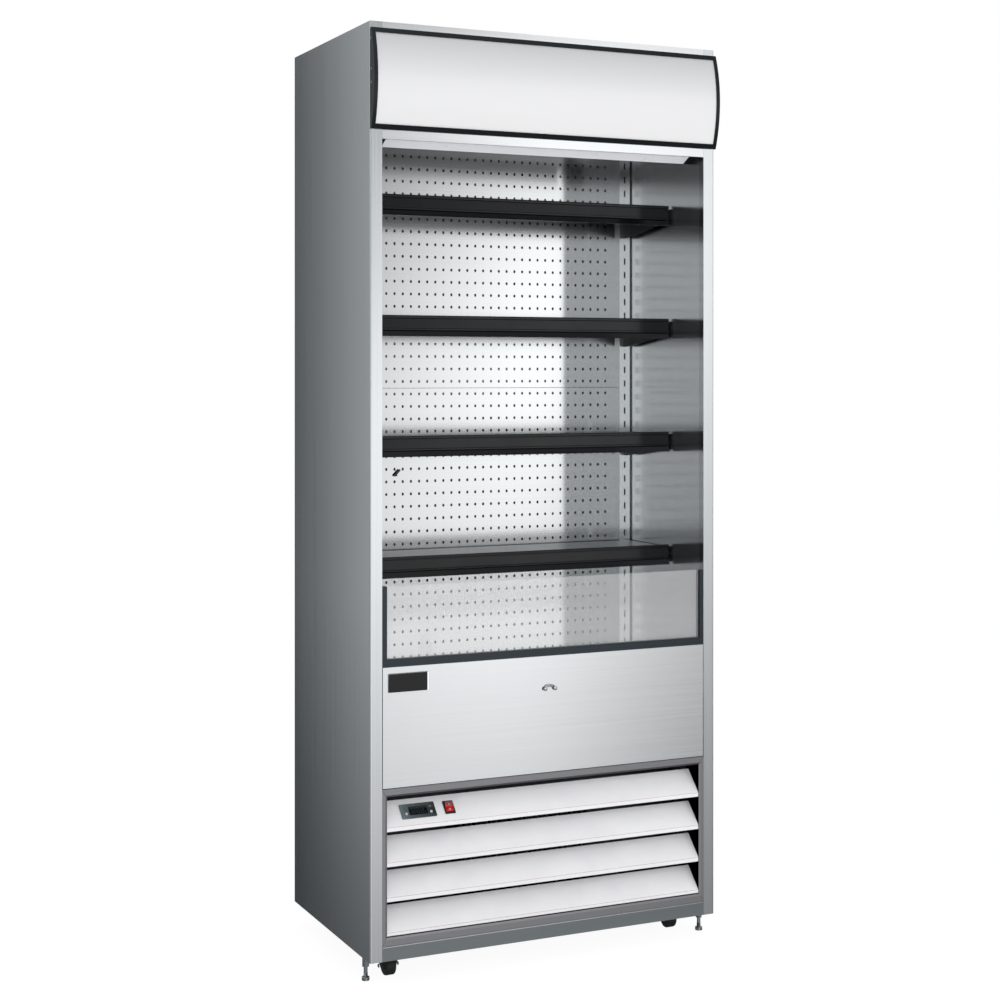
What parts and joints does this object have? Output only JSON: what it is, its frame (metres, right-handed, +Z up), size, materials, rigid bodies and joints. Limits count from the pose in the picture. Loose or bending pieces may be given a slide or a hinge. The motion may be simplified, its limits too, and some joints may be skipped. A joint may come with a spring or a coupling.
{
  "type": "open multideck display fridge",
  "caption": "Upright open-front chilled display cabinet with hung shelves, curved light canopy, pull-down night blind, glass riser and louvred machine bay on feet and casters.",
  "frame": {"origin": "on the floor, under the middle of the outer box", "axes": "+Z up, -Y towards the shopper (front), +X to the right seen from the front"},
  "size_m": [0.81, 0.5059, 1.953],
  "materials": {
    "stainless": "brushed stainless sheet",
    "stainless_bright": "polished stainless sheet",
    "galvanised": "plain grey zinc-coated sheet",
    "foam": "rigid insulating foam",
    "white_sheet": "white powder coat",
    "black_frame": "black, satin",
    "opal": "opal acrylic",
    "light_strip": "light strip",
    "grey_plastic": "moulded grey plastic",
    "black_plastic": "moulded black plastic",
    "label_channel": "black extruded plastic",
    "black_steel": "black powder coat",
    "glass": "clear toughened glass",
    "dark_channel": "dark grey anodised",
    "grille_metal": "satin grey",
    "blade_white": "pale powder coat",
    "chrome": "bright plated",
    "key": "soft pale plastic",
    "red_plastic": "red, gloss",
    "base_steel": "grey zinc-coated sheet",
    "foot_steel": "zinc-plated steel",
    "tyre_black": "black rubber",
    "coil": "aluminium fins on tube",
    "compressor_black": "black enamel",
    "blind_cloth": "coated blind cloth",
    "blind_metal": "natural anodised",
    "deck_steel": "stainless sheet"
  },
  "bodies": {
    "cabinet": {"side_skin_left": "stainless", "side_skin_right": "stainless", "cabinet_liners": "stainless_bright", "foam_insulation": "foam", "rear_panel": "galvanised", "top_panel": "stainless", "header_panel": "stainless_bright", "canopy_frame": "black_frame", "canopy_lens": "opal", "canopy_tray": "white_sheet", "canopy_lamps": "light_strip", "duct_panels": "stainless_bright", "ceiling_panel": "white_sheet", "air_honeycomb": "grey_plastic", "shelf_uprights": "stainless_bright", "shelf_plate_1": "stainless_bright", "shelf_plate_2": "stainless_bright", "shelf_plate_3": "stainless_bright", "shelf_plate_4": "stainless_bright", "ticket_strips": "label_channel", "shelf_brackets": "black_steel", "well_tray": "deck_steel", "deck_pan": "deck_steel", "front_panel": "stainless", "glass_channel": "dark_channel", "glass_riser": "glass", "grille_frame": "grille_metal", "louvre_blades": "blade_white", "controller_body": "black_plastic", "switch_bezel": "black_plastic", "blind_brackets": "black_plastic", "lamp_housing": "blind_metal", "lamp_diffuser": "opal", "blind_catch": "chrome", "base_pan": "base_steel", "condenser_coil": "coil", "fan_shroud": "base_steel", "compressor": "compressor_black", "drip_tray": "black_plastic", "evaporator_coil": "coil", "probe_clip": "grey_plastic"},
    "rocker": {"switch_rocker": "red_plastic"},
    "key_1": {"controller_key_1": "key"},
    "key_2": {"controller_key_2": "key"},
    "key_3": {"controller_key_3": "key"},
    "key_4": {"controller_key_4": "key"},
    "blind": {"blind_bar": "blind_metal", "blind_fabric": "blind_cloth"},
    "roller": {"blind_roller": "blind_cloth"},
    "foot_left": {"foot_left": "foot_steel"},
    "foot_right": {"foot_right": "foot_steel"},
    "fork_left": {"caster_fork_left": "black_steel"},
    "fork_right": {"caster_fork_right": "black_steel"},
    "front_wheel_left": {"front_wheel_left": "tyre_black"},
    "front_wheel_right": {"front_wheel_right": "tyre_black"},
    "rear_wheel_left": {"rear_wheel_left": "tyre_black"},
    "rear_wheel_right": {"rear_wheel_right": "tyre_black"},
    "condenser_fan": {"condenser_fan": "black_plastic"},
    "blower": {"evaporator_blower": "blind_metal"}
  },
  "joints": [
    {"name": "switch_rock", "type": "hinge", "parent": "cabinet", "child": "rocker", "pos_m": [-0.221, -0.20197, 0.34021], "axis": [1, 0, 0], "range_deg": [-16, 0]},
    {"name": "key_1_press", "type": "slide", "parent": "cabinet", "child": "key_1", "axis": [0, 0.7168, -0.6973], "range_m": [0, 0.0006], "stiffness_N_per_m": 300, "springref_m": -0.0015},
    {"name": "key_2_press", "type": "slide", "parent": "cabinet", "child": "key_2", "axis": [0, 0.7168, -0.6973], "range_m": [0, 0.0006], "stiffness_N_per_m": 300, "springref_m": -0.0015},
    {"name": "key_3_press", "type": "slide", "parent": "cabinet", "child": "key_3", "axis": [0, 0.7168, -0.6973], "range_m": [0, 0.0006], "stiffness_N_per_m": 300, "springref_m": -0.0015},
    {"name": "key_4_press", "type": "slide", "parent": "cabinet", "child": "key_4", "axis": [0, 0.7168, -0.6973], "range_m": [0, 0.0006], "stiffness_N_per_m": 300, "springref_m": -0.0015},
    {"name": "blind_pull", "type": "slide", "parent": "cabinet", "child": "blind", "axis": [0, -0.0165, -0.9999], "range_m": [0, 1.1332], "stiffness_N_per_m": 8, "springref_m": -1, "deforming": ["blind_fabric"]},
    {"name": "roller_turn", "type": "hinge", "parent": "cabinet", "child": "roller", "pos_m": [0, -0.198, 1.76], "axis": [1, 0, 0], "range_deg": [-5, 3729]},
    {"name": "foot_left_level", "type": "slide", "parent": "cabinet", "child": "foot_left", "axis": [0, 0, 1], "range_m": [-0.012, 0.012]},
    {"name": "caster_left_swivel", "type": "hinge", "parent": "cabinet", "child": "fork_left", "pos_m": [-0.343, -0.152, 0.045], "axis": [0, 0, 1], "continuous": true},
    {"name": "front_wheel_left_roll", "type": "hinge", "parent": "fork_left", "child": "front_wheel_left", "pos_m": [-0.343, -0.1695, 0.022], "axis": [1, 0, 0], "continuous": true},
    {"name": "rear_wheel_left_roll", "type": "hinge", "parent": "cabinet", "child": "rear_wheel_left", "pos_m": [-0.343, 0.193, 0.021], "axis": [1, 0, 0], "continuous": true},
    {"name": "foot_right_level", "type": "slide", "parent": "cabinet", "child": "foot_right", "axis": [0, 0, 1], "range_m": [-0.012, 0.012]},
    {"name": "caster_right_swivel", "type": "hinge", "parent": "cabinet", "child": "fork_right", "pos_m": [0.343, -0.152, 0.045], "axis": [0, 0, 1], "continuous": true},
    {"name": "front_wheel_right_roll", "type": "hinge", "parent": "fork_right", "child": "front_wheel_right", "pos_m": [0.343, -0.1345, 0.022], "axis": [1, 0, 0], "continuous": true},
    {"name": "rear_wheel_right_roll", "type": "hinge", "parent": "cabinet", "child": "rear_wheel_right", "pos_m": [0.343, 0.193, 0.021], "axis": [1, 0, 0], "continuous": true},
    {"name": "condenser_fan_spin", "type": "hinge", "parent": "cabinet", "child": "condenser_fan", "pos_m": [-0.02, -0.0828, 0.187], "axis": [0, 1, 0], "continuous": true},
    {"name": "blower_spin", "type": "hinge", "parent": "cabinet", "child": "blower", "pos_m": [0, 0.1622, 0.548], "axis": [1, 0, 0], "continuous": true}
  ],
  "couplings": [
    {"joint": "roller_turn", "follows": "blind_pull", "rad_per_m": 56.98}
  ]
}
